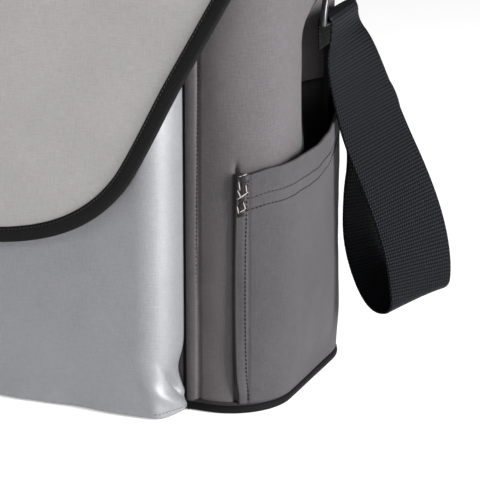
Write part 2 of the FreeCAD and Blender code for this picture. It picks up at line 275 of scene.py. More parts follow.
# ---- materials ----
class Nodes:
    """A material's node tree with short ways to add nodes."""

    def __init__(self, name):
        self.material = bpy.data.materials.new(name)
        self.material.use_nodes = True
        self.tree = self.material.node_tree
        self.shader = self.tree.nodes["Principled BSDF"]

    def add(self, kind, inputs=(), **settings):
        node = self.tree.nodes.new(kind)
        for key, value in settings.items():
            setattr(node, key, value)
        for key, value in dict(inputs).items():
            self.set(node.inputs[key], value)
        return node

    def set(self, socket, value):
        if isinstance(value, bpy.types.NodeSocket):
            self.tree.links.new(value, socket)
        else:
            socket.default_value = value

    def math(self, operation, a, b=0.0, c=0.0):
        return self.add("ShaderNodeMath", {0: a, 1: b, 2: c}, operation=operation).outputs[0]

    def times(self, a, b):
        return self.math("MULTIPLY", a, b)

    def plus(self, a, b):
        return self.math("ADD", a, b)

    def wave(self, angle):
        """Sine raised to run from 0 to 1."""
        return self.math("MULTIPLY_ADD", self.math("SINE", angle), 0.5, 0.5)

    def place(self):
        return self.add("ShaderNodeTexCoord").outputs["Object"]

    def noise(self, vector, scale, detail=2.0, rough=0.5):
        node = self.add("ShaderNodeTexNoise", {"Vector": vector, "Scale": scale, "Detail": detail,
                "Roughness": rough})
        return node.outputs["Fac"]

    def tint(self, factor, colour, low, high):
        return self.mix(factor, shade(colour, low), shade(colour, high))

    def mix(self, factor, a, b):
        node = self.add("ShaderNodeMix", data_type="RGBA")
        self.set(node.inputs["Factor"], factor)
        self.set(node.inputs[6], a)
        self.set(node.inputs[7], b)
        return node.outputs[2]

    def ramp(self, value, low, high, out_low=0.0, out_high=1.0):
        return self.add("ShaderNodeMapRange", {"Value": value, "From Min": low, "From Max": high,
                "To Min": out_low, "To Max": out_high}).outputs[0]

    def bump(self, height, strength, distance):
        return self.add("ShaderNodeBump", {"Height": height, "Strength": strength,
                "Distance": distance * MM}).outputs[0]

    def surface(self, **values):
        for key, value in values.items():
            self.set(self.shader.inputs[key.replace("_", " ")], value)
        return self.material


def shade(colour, factor):
    return tuple(clamp(c * factor) for c in colour) + (1.0,)


def uv_axes(n):
    uv = n.add("ShaderNodeUVMap", uv_map="cloth").outputs[0]
    parts = n.add("ShaderNodeSeparateXYZ", {0: uv})
    return uv, parts.outputs[0], parts.outputs[1]


def canvas(name, colour, thread=0.95, grain=0.16, mottle=0.1, relief=0.5, rough=0.85, **surface):
    """Plain-woven canvas: crossing threads, slubs, fine grain, slow colour variation and painted shade in the
    weave's hollows.
    """
    n = Nodes(name)
    uv, u, v = uv_axes(n)
    place = n.place()
    wave = math.tau / (thread * MM)
    warp = n.math("SINE", n.times(u, wave))
    weft = n.math("SINE", n.times(v, wave))
    weave = n.math("MULTIPLY_ADD", n.times(warp, weft), 0.5, 0.5)
    stretch_u = n.add("ShaderNodeMapping", {"Vector": uv, "Scale": (1.0, 0.16, 1.0)}).outputs[0]
    stretch_v = n.add("ShaderNodeMapping", {"Vector": uv, "Scale": (0.16, 1.0, 1.0)}).outputs[0]
    slubs = n.plus(n.noise(stretch_u, 900, 2), n.noise(stretch_v, 900, 2))
    slow = n.noise(place, 14, 3, 0.6)
    fine = n.noise(uv, 1100, 3, 0.65)
    tone = n.plus(n.ramp(slubs, 0.6, 1.4, -grain, grain), n.ramp(slow, 0.3, 0.7, -mottle, mottle))
    tone = n.plus(tone, n.ramp(fine, 0.3, 0.7, -grain * 0.8, grain * 0.8))
    # painted shade: the weave's raised crossings are lighter and its hollows darker
    tone = n.plus(tone, n.math("MULTIPLY_ADD", weave, grain, -grain * 0.5))
    base = n.tint(n.plus(tone, 0.5), colour, 0.5, 1.5)
    height = n.plus(n.times(weave, 0.7), n.times(slubs, 0.6))
    rough_map = n.ramp(fine, 0.3, 0.7, rough - 0.08, min(rough + 0.08, 1.0))
    return n.surface(Base_Color=base, Roughness=rough_map, Normal=n.bump(height, relief, 0.35), **surface)


RIB_SHADE = 0.45                # painted shade: how dark the hollows between ribs are


def ribbed(name, colour, pitch, axis, relief, rough=0.7, **surface):
    """Grosgrain or piping cloth: fine ribs along one of the two cloth axes."""
    n = Nodes(name)
    uv, u, v = uv_axes(n)
    line = v if axis else u
    rib = n.wave(n.times(line, math.tau / (pitch * MM)))
    fine = n.noise(uv, 1500, 2)
    # painted shade: the ribs' crests are lighter and the hollows between them darker
    tone = n.plus(n.times(rib, 0.55), n.times(fine, 0.45))
    base = n.tint(tone, colour, RIB_SHADE, 2 - RIB_SHADE)
    height = n.plus(rib, n.times(fine, 0.5))
    return n.surface(Base_Color=base, Roughness=n.ramp(fine, 0.3, 0.7, rough - 0.08, rough + 0.1),
            Normal=n.bump(height, relief, 0.3), **surface)


def webbing_material(name, base_colour, dash_highlight_colour):
    """Heavy woven webbing: rows of slanted dashes, painted lighter on the rib crests as painted highlights,
    that lean the other way in every second row.
    """
    n = Nodes(name)
    uv, u, v = uv_axes(n)
    row = n.math("DIVIDE", v, 2.4 * MM)
    phase = n.math("FRACT", row)
    parity = n.math("ROUND", n.math("MODULO", n.math("FLOOR", row), 2.0))
    lean = n.times(n.math("MULTIPLY_ADD", parity, -2.0, 1.0), 0.28)
    wobble = n.times(n.noise(uv, 400, 2), 0.5)
    dash_line = n.plus(n.math("DIVIDE", u, 1.75 * MM), n.times(phase, lean))
    dash_line = n.plus(n.plus(dash_line, n.times(parity, 0.5)), wobble)
    dash = n.wave(n.times(dash_line, math.tau))
    rib = n.math("SINE", n.times(phase, math.pi))
    # painted highlight: the dashes light up on the crests of the ribs
    dash_highlight = n.times(n.ramp(dash, 0.35, 0.95), n.ramp(rib, 0.45, 1.0))
    fine = n.noise(uv, 1400, 2)
    dash_highlight = n.times(dash_highlight, n.ramp(fine, 0.25, 0.75, 0.45, 1.1))
    colour = n.mix(dash_highlight, base_colour + (1.0,), dash_highlight_colour + (1.0,))
    height = n.plus(rib, n.times(dash, 0.6))
    return n.surface(Base_Color=colour, Roughness=n.ramp(fine, 0.3, 0.7, 0.42, 0.62),
            Normal=n.bump(height, 0.75, 0.55), Specular_IOR_Level=0.08)


def hard(name, colour, rough, scratch, metallic=0.0):
    """Moulded or plated finish with a fine grain and worn, uneven gloss."""
    n = Nodes(name)
    place = n.place()
    fine = n.noise(place, 1400, 3)
    wear = n.noise(place, 140, 4, 0.7)
    base = n.tint(wear, colour, 0.8, 1.2)
    return n.surface(Base_Color=base, Roughness=n.ramp(wear, 0.3, 0.7, rough - 0.07, rough + 0.1),
            Normal=n.bump(fine, scratch, 0.1), Metallic=metallic)


def pile(name, colour, scale, relief):
    """Hook or loop pile."""
    n = Nodes(name)
    place = n.place()
    cells = n.add("ShaderNodeTexVoronoi", {"Vector": place, "Scale": scale}).outputs["Distance"]
    base = n.tint(n.ramp(cells, 0.1, 0.8), colour, 1.6, 0.5)
    return n.surface(Base_Color=base, Roughness=0.9, Normal=n.bump(cells, relief, 0.5))


GUSSET = canvas("grey_canvas", (0.078, 0.072, 0.075), grain=0.14, rough=0.82, Sheen_Weight=0.03,
        Specular_IOR_Level=0.15)
# a darker copy of the grey canvas for the side pockets: painted shade
POCKET_SIDE_SHADED = canvas("grey_canvas_pocket_shaded", (0.05, 0.047, 0.051), grain=0.13, rough=0.82,
        Sheen_Weight=0.03, Specular_IOR_Level=0.15)
SILVER = canvas("silver_canvas", (0.2, 0.202, 0.214), thread=1.0, grain=0.1, mottle=0.06, relief=0.3,
        rough=0.42, Metallic=0.2, Specular_IOR_Level=0.6)
FLAP = canvas("flap_canvas", (0.325, 0.311, 0.311), grain=0.09, mottle=0.05, relief=0.4, rough=0.8,
        Sheen_Weight=0.1)
# dark lining cloth, also the colour of the sheets painted as shade in the side pockets' mouths
LINING_AND_SHADE = canvas("lining_cloth", (0.016, 0.016, 0.018), thread=0.6, grain=0.2, relief=0.25, rough=0.7,
        Specular_IOR_Level=0.15)
BASE_CLOTH = canvas("base_cloth", (0.02, 0.02, 0.021), thread=1.3, grain=0.3, relief=0.6, rough=0.7)
GROSGRAIN = ribbed("binding_grosgrain", (0.007, 0.007, 0.0072), 1.15, 1, 0.9, Specular_IOR_Level=0.08)
# piping cloth, also the colour of the dark strip painted as shade beside each front seam
PIPING_AND_SHADE = ribbed("piping_and_shade_cloth", (0.006, 0.0058, 0.0064), 0.8, 0, 0.5, rough=0.6, Specular_IOR_Level=0.05)
# the second colour is the painted highlight on the webbing's dashes
WEBBING = webbing_material("strap_webbing", (0.0012, 0.0014, 0.0024), (0.012, 0.014, 0.021))
TAB_WEBBING = ribbed("tab_webbing", (0.012, 0.012, 0.015), 1.6, 1, 0.8, Specular_IOR_Level=0.2)
# dark thread, also the colour of the dark strips painted as shade at the base piping and the side pockets'
# front edges
THREAD_AND_SHADE_DARK = ribbed("dark_thread_and_shade", (0.018, 0.016, 0.017), 0.5, 0, 0.5, Specular_IOR_Level=0.2)
THREAD_GREY = ribbed("thread_grey", (0.16, 0.155, 0.16), 0.5, 0, 0.5)
THREAD_LIGHT = ribbed("thread_light", (0.36, 0.33, 0.3), 0.5, 0, 0.5)
STEEL = hard("ring_steel", (0.05, 0.05, 0.053), 0.3, 0.15, metallic=0.9)
BOARD = hard("stiffener_board", (0.03, 0.03, 0.032), 0.6, 0.4)
HOOK = pile("hook_pile", (0.02, 0.02, 0.021), 900, 0.9)
LOOP = pile("loop_pile", (0.035, 0.035, 0.037), 500, 0.9)


# ---- camera, light and floor ----
AZIMUTH = math.radians(22.6)
ELEVATION = math.radians(18.5)
CAMERA_AT = (0.845, -1.6187, 0.6872)
LENS = 205.2
SENSOR = 36.0
SKY = 0.28                      # strength of the even light from all sides
FLOOR_SIZE = 30.0
FLOOR_GLOW = 0.36


def camera():
    back = Vector((math.sin(AZIMUTH) * math.cos(ELEVATION), -math.cos(AZIMUTH) * math.cos(ELEVATION),
            math.sin(ELEVATION)))
    data = bpy.data.cameras.new("camera")
    data.lens = LENS
    data.sensor_width = SENSOR
    obj = bpy.data.objects.new("camera", data)
    obj.location = CAMERA_AT
    obj.rotation_euler = back.to_track_quat("Z", "Y").to_euler()
    link(obj)
    bpy.context.scene.camera = obj


def area_light(name, at, aim, size, power):
    data = bpy.data.lights.new(name, "AREA")
    data.shape = "RECTANGLE"
    data.size, data.size_y = size
    data.energy = power
    obj = bpy.data.objects.new(name, data)
    obj.location = at
    obj.rotation_euler = (Vector(at) - Vector(aim)).to_track_quat("Z", "Y").to_euler()
    link(obj)


def studio():
    scene = bpy.context.scene
    scene.view_settings.view_transform = "Standard"
    world = bpy.data.worlds.new("studio")
    world.use_nodes = True
    background = world.node_tree.nodes["Background"]
    background.inputs[0].default_value = (1.0, 1.0, 1.0, 1.0)
    background.inputs[1].default_value = SKY
    scene.world = world
    area_light("side", (1.85, -0.25, 0.62), (0.15, -0.05, 0.15), (0.5, 0.9), 72)
    area_light("front", (-1.9, -1.9, 1.7), (0.0, 0.0, 0.15), (1.0, 1.0), 36)
    mesh = bpy.data.meshes.new("floor")
    corner = FLOOR_SIZE / 2
    mesh.from_pydata([(-corner, -corner, 0), (corner, -corner, 0), (corner, corner, 0), (-corner, corner, 0)],
            [], [(0, 1, 2, 3)])
    n = Nodes("floor_paper")
    place = n.place()
    tone = n.mix(n.noise(place, 3, 2), (0.9, 0.9, 0.9, 1.0), (0.93, 0.93, 0.93, 1.0))
    mesh.materials.append(n.surface(Base_Color=tone, Roughness=0.9, Emission_Color=(1.0, 1.0, 1.0, 1.0),
            Emission_Strength=FLOOR_GLOW))
    floor = bpy.data.objects.new("floor", mesh)
    link(floor)


# ---- shoulder strap ----
# route of the webbing: (point, direction across), millimetres
LEFT_END = [
    ((-225.3, 50, 223), (0, 1, 0)),
    ((-225.6, 50, 231), (0, 1, 0)),
    ((-225.9, 50, 240), (0, 1, 0)),
    ((-225.9, 50, 255), (0, 1, 0)),
]
BACK_RUN = [
    ((217.1, 50, 255), (0, 1, 0)),
    ((217.3, 50.5, 238), (0, 1, 0.1)),
    ((219, 56, 222), (0, 0.85, 0.5)),
    ((224, 78, 208), (-0.3, 0.6, 0.75)),
    ((214, 102, 196), (-0.35, 0.3, 0.9)),
    ((184, 106, 180), (-0.4, 0.05, 0.9)),
    ((130, 101.5, 152), (-0.4, 0, 0.9)),
    ((65, 100.5, 130), (-0.2, 0, 1)),
    ((0, 100.5, 122), (0, 0, 1)),
]
SLACK_LOOP = [
    ((210, 107, 183), (-0.3, 0.25, 0.9)),
    ((227, 102, 169), (0.1, 0.75, 0.6)),
    ((235, 92, 144), (0.45, 0.86, 0.15)),
    ((234, 89, 118), (0.58, 0.81, 0)),
    ((234, 89, 80), (0.55, 0.83, 0.05)),
    ((255, 77, 46.5), (0.53, 0.82, 0.2)),
    ((279, 62.5, 50), (0.53, 0.82, 0.2)),
    ((279, 62, 74), (0.63, 0.77, 0.1)),
    ((272.5, 63, 102), (0.7, 0.71, 0.03)),
    ((261, 61, 134), (0.7, 0.71, 0)),
    ((246, 58, 168), (0.64, 0.77, 0)),
    ((236, 54.5, 200), (0.5, 0.87, 0)),
    ((229, 51.5, 226), (0.33, 0.94, 0)),
    ((225.9, 50.3, 241), (0, 1, 0)),
    ((225.9, 50, 255), (0, 1, 0)),
    ((217.1, 50, 255), (0, 1, 0)),
    ((217.2, 50, 243), (0, 1, 0)),
    ((217.5, 50, 232), (0, 1, 0)),
]
RIB_PITCH = 2.4
STATIONS_PER_RIB = 4
WEBBING_COLUMNS = (-1, -0.96, -0.8, -0.5, -0.2, 0.2, 0.5, 0.8, 0.96, 1)     # shares of the half width


def nurbs_points(points):
    """The points of the smooth curve that has these control points, in millimetres."""
    data = bpy.data.curves.new("route", "CURVE")
    data.dimensions = "3D"
    spline = data.splines.new("NURBS")
    spline.points.add(len(points) - 1)
    for knot, point in zip(spline.points, points):
        knot.co = (point[0] * MM, point[1] * MM, point[2] * MM, 1.0)
    spline.order_u = 3
    spline.use_endpoint_u = True
    spline.resolution_u = 24
    holder = bpy.data.objects.new("route", data)
    mesh = bpy.data.meshes.new_from_object(holder)
    result = [vertex.co / MM for vertex in mesh.vertices]
    bpy.data.objects.remove(holder)
    bpy.data.curves.remove(data)
    bpy.data.meshes.remove(mesh)
    return result


def strap():
    """The whole webbing as one ribbed ribbon; returns its stations as (point, across, distance)."""
    left_run = [((-x, y, z), (-ax, ay, az)) for (x, y, z), (ax, ay, az) in BACK_RUN]
    route = LEFT_END + left_run + BACK_RUN[-2:4:-1] + SLACK_LOOP
    centre = nurbs_points([point for point, _ in route])
    half_wide, half = WEBBING_WIDTH / 2, WEBBING_THICKNESS / 2
    edge = nurbs_points([tuple(p + half_wide * d for p, d in zip(point, across)) for point, across in route])
    total = running_length(centre)
    count = int(total[-1] / RIB_PITCH) * STATIONS_PER_RIB
    columns = [t * half_wide for t in WEBBING_COLUMNS]
    points, uvs, faces = [], [], []
    section = [(a, half) for a in columns] + [(a, -half) for a in reversed(columns)]
    ring = len(section)
    frames = []
    for n in range(count + 1):
        d = total[-1] * n / count
        i, t = place_at(total, d)
        p = centre[i].lerp(centre[i + 1], t)
        e = edge[i].lerp(edge[i + 1], t)
        frames.append((p, e - p, d))
    for n, (p, across, d) in enumerate(frames):
        along = (frames[min(n + 1, count)][0] - frames[max(n - 1, 0)][0]).normalized()
        wide = (across - along * across.dot(along)).normalized()
        out = along.cross(wide).normalized()
        swell = 0.82 + 0.18 * math.sin(math.pi * ((d / RIB_PITCH) % 1.0))
        for a, b in section:
            edge_thin = 0.55 if abs(a) > 0.99 * half_wide else 1.0
            cup = 0.5 * math.sin(d / 83.0) * (1 - (a / half_wide) ** 2)
            points.append(p + wide * a + out * (b * swell * edge_thin + cup))
    for n in range(count):
        for j in range(ring):
            k = (j + 1) % ring
            faces.append([n * ring + j, n * ring + k, (n + 1) * ring + k, (n + 1) * ring + j])
            uj, uk = section[j][0], section[k][0]
            uvs += [(uj, frames[n][2]), (uk, frames[n][2]), (uk, frames[n + 1][2]), (uj, frames[n + 1][2])]
    for start, order in ((0, range(ring - 1, -1, -1)), (count * ring, range(ring))):
        faces.append([start + j for j in order])
        uvs += [(section[j][0], frames[-1 if start else 0][2]) for j in order]
    piece = new_piece("strap_webbing", points, faces, uvs, [WEBBING], "shoulder_strap",
            ("strap_main", "strap_slack_loop"))
    return frames


# ---- bag walls ----
SIDE_POCKET_FRONT = 194.5       # plan lengths of the side pocket's front and rear edges
SIDE_POCKET_REAR = 361.0
FOLD_AT = 300.0                 # plan length of the soft fold in each gusset
STITCH_OUT = 9.4                # the topstitch beside each front seam


def fine_steps(low, high, step, marks=()):
    """Stations from low to high, closer together near each (centre, half width, step) mark."""
    values = set(steps(low, high, max(1, round((high - low) / step))))
    for centre, half, small in marks:
        count = int(half / small)
        near = {centre + k * small for k in range(-count, count + 1)}
        values = {v for v in values if abs(v - centre) > half} | {v for v in near if low < v < high}
    return sorted(values | {low, high})


def gusset_out(s, z):
    """How far the gusset stands out of the plan; the left side has its own wrinkles."""
    a = abs(s)
    fold = -18 * bump(a, FOLD_AT, 24) * smooth(z, 105, 190) * (1 - smooth(z, 238, 270))
    swell = 1.8 * bump(a, 240, 38) * bump(z, 95, 80)
    front_row, rear_row = SEAM_X + STITCH_OUT, REAR_SEAM - STITCH_OUT
    seams = -0.8 * bump(a, front_row, 1.0) - 0.8 * bump(a, rear_row, 1.0)
    below_bar = 1 - smooth(z, 168, 176)
    recess = -2.6 * bump(a, SIDE_POCKET_FRONT - 1.0, 1.7) * below_bar
    pucker = 0.35 * soft(s, z, 0, 6.5, 3) * (bump(a, front_row, 5) + bump(a, rear_row, 5))
    free = smooth(z, 6, 26) * (1 - smooth(z, 286, 299))
    wrinkle = (0.9 * soft(s, z * 0.6, 0, 46, 9) + 0.35 * soft(s, z, 0, 19, 5)) * free
    edges = smooth(a, SEAM_X, SEAM_X + 12) * (1 - smooth(a, REAR_SEAM - 12, REAR_SEAM))
    return fold + swell + seams + recess + pucker + wrinkle * edges


def wall_point(s, z, out):
    point, normal = plan(s)
    return point + normal * out + Vector((0, 0, z))


def surface_line(places, out_at, lift=0.0):
    """(point, normal) along (s, z) places on a wall whose outward offset is out_at(s, z)."""
    result = []
    for s, z in places:
        _, normal = plan(s)
        result.append((wall_point(s, z, out_at(s, z) + lift), normal))
    return result


def sided(side, name):
    return name + ("_right" if side > 0 else "_left")


def gusset(side):
    marks = ((SEAM_X + STITCH_OUT, 3.0, 0.75), (SIDE_POCKET_FRONT - 1, 4.0, 0.8),
            (REAR_SEAM - STITCH_OUT, 3.0, 0.75))
    ss = fine_steps(SEAM_X - 0.5, REAR_SEAM, 3.2, marks)
    if side < 0:
        ss = [-s for s in reversed(ss)]
    zs = steps(BASE_Z - 1, BODY_TOP, 92)
    rows = [[wall_point(s, z, gusset_out(s, z)) for s in ss] for z in zs]
    cloth(sided(side, "gusset_canvas"), rows, ss, zs, [GUSSET, LINING_AND_SHADE], "bag",
          [sided(side, "gusset")])
    lines = []
    for a in (SEAM_X + STITCH_OUT, REAR_SEAM - STITCH_OUT):
        places = [(side * (a - 1.3 * smooth(z, 250, 40) - 1.3 * (1 - z / BODY_TOP)), z)
                for z in steps(BASE_Z + 2, BODY_TOP - 5, 60)]
        lines.append(surface_line(places, gusset_out, 0.3))
    stitches(sided(side, "gusset_topstitch"), lines, "bag")


def seam_fold(side):
    """The folded seam allowance: a low strip with a rounded edge, puckered along its stitches."""
    at, width = SEAM_X + 0.3, 8.2
    rows, zs = [], steps(BASE_Z, BODY_TOP - 2, 150)
    across = (0.0, 0.0, 0.12, 0.4, 0.75, 0.95, 1.0)
    rise = (-0.6, 0.9, 1.5, 1.55, 1.35, 0.75, -0.2)
    for z in zs:
        shift = 0.3 * soft(0, z, side * 9, 31) - 0.8 * (1 - z / BODY_TOP)
        row = []
        for t, lift in zip(across, rise):
            a = at + t * (width + shift)
            lift += 0.18 * math.sin(z * math.tau / (2 * STITCH_PITCH) + 2 * soft(0, z, 5, 14)) * t
            row.append(wall_point(side * a, z, gusset_out(side * a, z) * 0.5 + lift))
        rows.append(row)
    us = [at + t * width for t in across]
    cloth(sided(side, "seam_fold"), rows, us, zs, [GUSSET], "bag",
          [sided(side, "seam_strip")], thick=0.8, flip=side < 0)


def seam_shade_strip(side):
    """A dark strip painted as the shade in the gap between the front pocket and the gusset's fold."""
    stations = [(wall_point(side * (SEAM_X - 0.5), z, 0.1 + 0.1 * soft(0, z, 2, 20)), RIGHT,
            FRONT) for z in steps(BASE_Z, BODY_TOP - 4, 80)]
    sweep(sided(side, "seam_shade_strip"), stations, [(-1.6, -0.4), (1.2, -0.4), (1.2, 0.5), (0, 0.8), (-1.6, 0.5)],
          [PIPING_AND_SHADE], "bag")


def flat_panels():
    zs = steps(BASE_Z - 1, BODY_TOP, 60)
    xs = steps(-SEAM_X, SEAM_X, 64)

    def front(x, z):
        return Vector((x, FRONT_Y + 0.5 + 0.5 * soft(x, z, 0, 50), z))

    def back(x, z):
        free = smooth(z, 6, 40) * (1 - smooth(z, 270, 299)) * (1 - smooth(abs(x), 130, SEAM_X))
        sag = (1.6 * soft(x, z * 0.5, 0, 75, 4) + 0.6 * soft(x, z, 0, 30, 8)) * free
        return Vector((x, BACK_Y + sag - 0.6, z))

    cloth("front_panel_canvas", [[front(x, z) for x in xs] for z in zs], xs, zs, [GUSSET, LINING_AND_SHADE], "bag",
          ["front_panel"])
    back_xs = xs[::-1]
    cloth("back_panel_canvas", [[back(x, z) for x in back_xs] for z in zs], back_xs, zs, [GUSSET, LINING_AND_SHADE],
          "bag", ["back_panel"])
    outward = Vector((0, 1, 0))
    lines = [[(back(x, z) + outward * 0.2, outward) for x in steps(-SEAM_X + 3, SEAM_X - 3, 40)]
            for z in (288, 14)]
    stitches("back_panel_topstitch", lines, "bag")


def whole_plan(step):
    """Arc lengths right round the plan."""
    count = round(2 * HALF_PLAN / step)
    return [-HALF_PLAN + 2 * HALF_PLAN * i / count for i in range(count)]


def plan_stations(out, z, step, wave):
    """Stations for a strip that runs right round the body; its height wavers a little."""
    result = []
    for s in whole_plan(step):
        _, normal = plan(s)
        result.append((wall_point(s, z + wave * soft(s, 0, 0, 24), out), normal, UP))
    return result


def round_section(a, b, count=14, power=0.85):
    section = []
    for i in range(count):
        t = math.tau * i / count
        c, s = math.cos(t), math.sin(t)
        section.append((math.copysign(abs(c) ** power, c) * a, math.copysign(abs(s) ** power, s) * b))
    return section


def base():
    sweep("base_piping_roll", plan_stations(0.2, 3.0, 3.0, 0.12), round_section(3.0, 2.9), [PIPING_AND_SHADE], "bag",
          ["base_piping"], closed=True)
    # a dark band above the piping roll, painted as the shade line between the roll and the gusset
    shade_line_section = [(-1.5, -1.6), (0.9, -1.6), (1.3, -0.4), (0.9, 1.2), (-1.5, 1.2)]
    sweep("base_piping_shade_line", plan_stations(0.3, 6.6, 3.0, 0.1), shade_line_section, [THREAD_AND_SHADE_DARK], "bag",
          closed=True)
    ss = whole_plan(6.0)
    centre = Vector((0, (FRONT_Y + BACK_Y) / 2, 0))
    scales = [0.01] + [0.1 * i for i in range(1, 10)] + [0.98]
    rows = []
    for scale in scales:
        row = []
        for s in ss:
            point, _ = plan(s)
            place = centre + (point - centre) * scale
            row.append(place + Vector((0, 0, 0.7 + 0.25 * soft(place.x, place.y, 0, 30) * scale)))
        rows.append(row)
    piece = cloth("base_cloth", rows, ss + [HALF_PLAN], [scale * 100 for scale in scales],
            [BASE_CLOTH, LINING_AND_SHADE], "bag", ["base_panel"], thick=2.8, closed=True)
    for loop, uv in zip(piece.data.loops, piece.data.uv_layers["cloth"].data):
        place = piece.data.vertices[loop.vertex_index].co
        uv.uv = (place.x, place.y)


def mouth_binding():
    section = [(-4.2, -9.0), (-4.4, -1.5), (-3.4, 1.0), (-1.5, 1.7), (0.4, 1.0), (1.4, -1.5), (1.2, -9.0)]
    sweep("mouth_binding_tape", plan_stations(0.0, 299.8, 4.0, 0.2), section, [GROSGRAIN], "bag",
          ["mouth_binding"], closed=True)
    line = [(wall_point(s, 292.5, 1.5), plan(s)[1]) for s in whole_plan(4.0)]
    stitches("mouth_binding_stitch", [line], "bag")


def divider():
    """The loose cloth between the main compartment and the sleeve at the back."""
    half, top = 211, 234
    xs, zs = steps(-half, half, 70), steps(7, top, 36)
    rows = [[Vector((x, 60.6 + 1.2 * soft(x, z, 0, 60) * (1 - abs(x) / 212), z)) for x in xs] for z in zs]
    cloth("divider_cloth", rows, xs, zs, [LINING_AND_SHADE], "bag", ["sleeve_divider"], thick=1.8)
    stations = [(Vector((x, 61.4, top - 2.5)), FRONT, UP)
            for x in steps(-half, half, 60)]
    sweep("divider_binding", stations, [(-1.8, -6), (-1.8, 2), (-0.8, 3), (0.8, 3), (1.8, 2), (1.8, -6)],
          [GROSGRAIN], "bag")


# ---- silver front pocket ----
POCKET_SEAM_X = 157.6
POCKET_CORNER = 24.0
POCKET_PROFILE = ((0.6, 28.0), (2.5, 30.4), (7, 31.2), (16, 31.2), (50, 32.0), (90, 31.0), (125, 30.2),
        (225, 29.6), (285, 13))       # height, how far the pocket stands out
CORNER_STEPS = 22
FRONT_STEPS = 30
HEM_OUT = Vector((0, -0.962, 0.272))            # normal and rise of the leaning cloth at the hem
HEM_UP = Vector((0, 0.272, 0.962))


def pocket_outline(z, drop=1.0):
    """Half outline of the pocket at one height: (x, y, distance round from the seam)."""
    proud = table(POCKET_PROFILE, z) * drop
    notch = -4.4 * bump(z, 29, 12) + 1.4 * bump(z, 8, 7)
    ear = 2.2 * bump(z, 8, 6)
    result, length, last = [], 0.0, None
    corner_x = POCKET_SEAM_X - POCKET_CORNER + 13.0 * (1 - smooth(z, 0, 45))
    for i in range(CORNER_STEPS + 1):
        phi = math.radians(90 * i / CORNER_STEPS)
        c, s = max(math.cos(phi), 0.0), math.sin(phi)
        hug = (1 - s) ** 2
        x = corner_x + (POCKET_SEAM_X - corner_x) * c ** 0.78 + (notch + ear) * hug
        y = FRONT_Y - 0.3 - proud * s ** 0.92 - 1.0 * bump(z, 9, 8) * hug
        if last:
            length += math.hypot(x - last[0], y - last[1])
        last = (x, y)
        crease = bump((length - 1) * 0.77 - (z - 9) * 0.64, 0, 2.6) * bump(length + z, 24, 24)
        fold = bump((length - 1) * 0.5 - (z - 2) * 0.86, 0, 4.0) * bump(length, 16, 16)
        push = 5.5 * crease - 2.6 * fold
        result.append((x - push * c, y + push * s, length))
    for i in range(1, FRONT_STEPS + 1):
        x = corner_x * (1 - i / FRONT_STEPS)
        length += corner_x / FRONT_STEPS
        ripple = bump(z, 3, 16) * (0.9 * math.sin(x / 11.0) + 1.2 * soft(x, z, 2, 17))
        belly = 1.2 * smooth(corner_x - x, 0, 40) * bump(z, 55, 45)
        sag = 0.7 * soft(x, z * 0.7, 3, 60) + 0.3 * soft(x, z, 7, 22)
        low = 1 - smooth(z, 105, 130)
        result.append((x, FRONT_Y - 0.3 - proud - belly - sag * low + ripple * 0.8, length))
    return result


def pocket_row(z, drop=1.0):
    """The whole outline at one height, left seam to right seam."""
    right = pocket_outline(z, drop)
    left = [(-x, y, -length) for x, y, length in right[:-1]]
    return left + right[::-1]


def front_pocket():
    # (height, share of the depth): the first four close the pocket underneath
    levels = [(1.2, 0.15), (0.7, 0.45), (0.45, 0.75), (0.4, 0.95)]
    heights = [1.0, 2.0, 3.3, 5.0, 7.2] + steps(9.5, 60, 26) + steps(63.5, POCKET_TOP, 62)
    levels += [(z, 1.0) for z in heights]
    rows, vs = [], []
    for z, drop in levels:
        rows.append([Vector((x, y, z)) for x, y, _ in pocket_row(z, drop)])
        vs.append(z - 30 * (1 - drop))
    widest = rows[20]
    cloth("front_pocket_shell", rows, running_length(widest), vs, [SILVER, LINING_AND_SHADE], "bag",
          ["front_pocket_panel"], thick=2.0)
    hem = [(Vector((x, y - 0.3, POCKET_TOP - 5.8)), HEM_OUT, HEM_UP)
           for x, y, _ in pocket_row(POCKET_TOP - 6) if abs(x) < 137]
    sweep("front_pocket_hem_tape", hem, [(-0.6, -6), (0.7, -6), (1.0, -5.2), (1.0, 5.2), (0.7, 6), (-0.6, 6)],
          [SILVER], "bag", ["front_pocket_hem"])
    lines = [[(p + a * 1.05 + b * shift, a) for p, a, b in hem] for shift in (-4.6, 4.6)]
    stitches("front_pocket_hem_stitch", lines, "bag", material=THREAD_GREY)
    corner = []
    for side in (1, -1):
        line = []
        for x, y, _ in pocket_outline(4.6)[2:21]:
            line.append((Vector((side * x, y, 4.9)), Vector((side * 0.5, -0.5, -0.4)).normalized()))
        corner.append(line)
    stitches("front_pocket_corner_stitch", corner, "bag", material=THREAD_GREY)


def closure_tapes():
    """Hook pile on the silver pocket and the loop pile that meets it inside the flap."""
    xs, zs = steps(*TAPE_X, 40), steps(*TAPE_Z, 24)
    for side in (1, -1):
        for kind, body, face, facing, material in (("hook", "bag", -94.2, -1, HOOK),
                ("loop", "flap_front", -94.6, 1, LOOP)):
            rows = []
            for z in zs:
                row = []
                for x in xs:
                    edge = min(x - TAPE_X[0], TAPE_X[1] - x, z - TAPE_Z[0], TAPE_Z[1] - z)
                    rough = 0.0 if edge < 1.5 else random.uniform(-0.1, 0.25)
                    dip = 0.35 * (1 - smooth(edge, 0, 1.5))
                    row.append(Vector((side * x, face + facing * (rough - dip - 0.2), z)))
                rows.append(row)
            outward = (side > 0) == (facing < 0)
            cloth(sided(side, kind + "_pile"), rows, xs, zs, [material], body,
                  [sided(side, kind + "_tape")], thick=0.9, flip=not outward)


